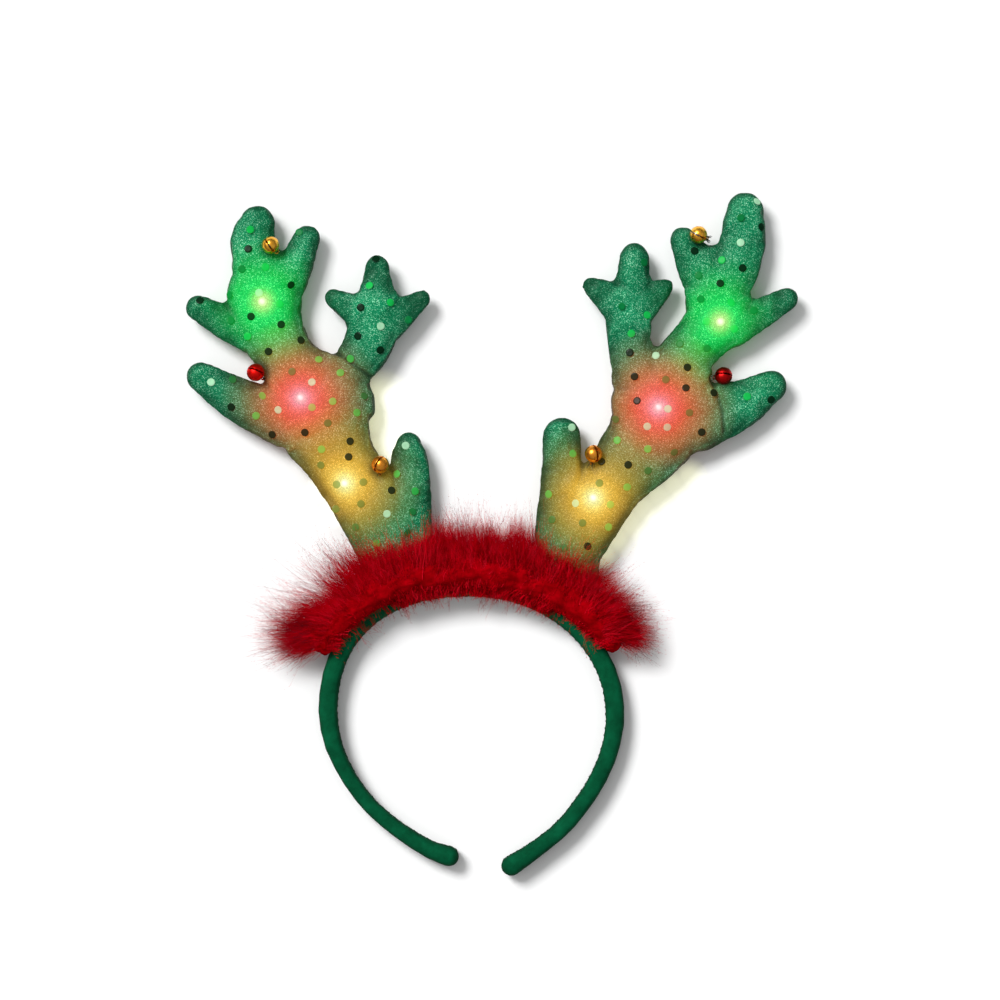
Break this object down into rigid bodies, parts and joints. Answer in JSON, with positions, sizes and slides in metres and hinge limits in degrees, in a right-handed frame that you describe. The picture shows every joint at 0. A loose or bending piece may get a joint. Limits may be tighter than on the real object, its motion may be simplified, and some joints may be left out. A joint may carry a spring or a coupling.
{
  "type": "reindeer antler headband",
  "caption": "Padded horseshoe headband with stuffed glitter antlers, a marabou strip, slotted jingle bells and small domed lights, lying on its back.",
  "frame": {"origin": "middle of the whole object's length and width, on the surface that it lies on", "axes": "+Y from the headband's tips to the antler tips, +Z out of the front, +X to the viewer's right"},
  "size_m": [0.3171, 0.3529, 0.042],
  "materials": {
    "velvet": "short-pile velvet",
    "glitter_cloth": "metallic-thread cloth with sequins",
    "marabou": "soft down feather",
    "gold_bell": "polished gold plate",
    "red_bell": "red lacquered metal",
    "steel": "plain steel shot",
    "green_light": "lit clear resin",
    "red_light": "lit clear resin",
    "yellow_light": "lit clear resin"
  },
  "bodies": {
    "root": {"headband": "velvet", "antler_left": "glitter_cloth", "antler_right": "glitter_cloth", "marabou_trim": "marabou", "bell_left_top": "gold_bell", "bell_left_middle": "red_bell", "bell_left_base": "gold_bell", "bell_right_top": "gold_bell", "bell_right_middle": "red_bell", "bell_right_base": "gold_bell", "pellet_left_top": "steel", "pellet_left_middle": "steel", "pellet_left_base": "steel", "pellet_right_top": "steel", "pellet_right_middle": "steel", "pellet_right_base": "steel", "led_left_green": "green_light", "led_left_red": "red_light", "led_left_yellow": "yellow_light", "led_right_green": "green_light", "led_right_red": "red_light", "led_right_yellow": "yellow_light"}
  },
  "joints": []
}
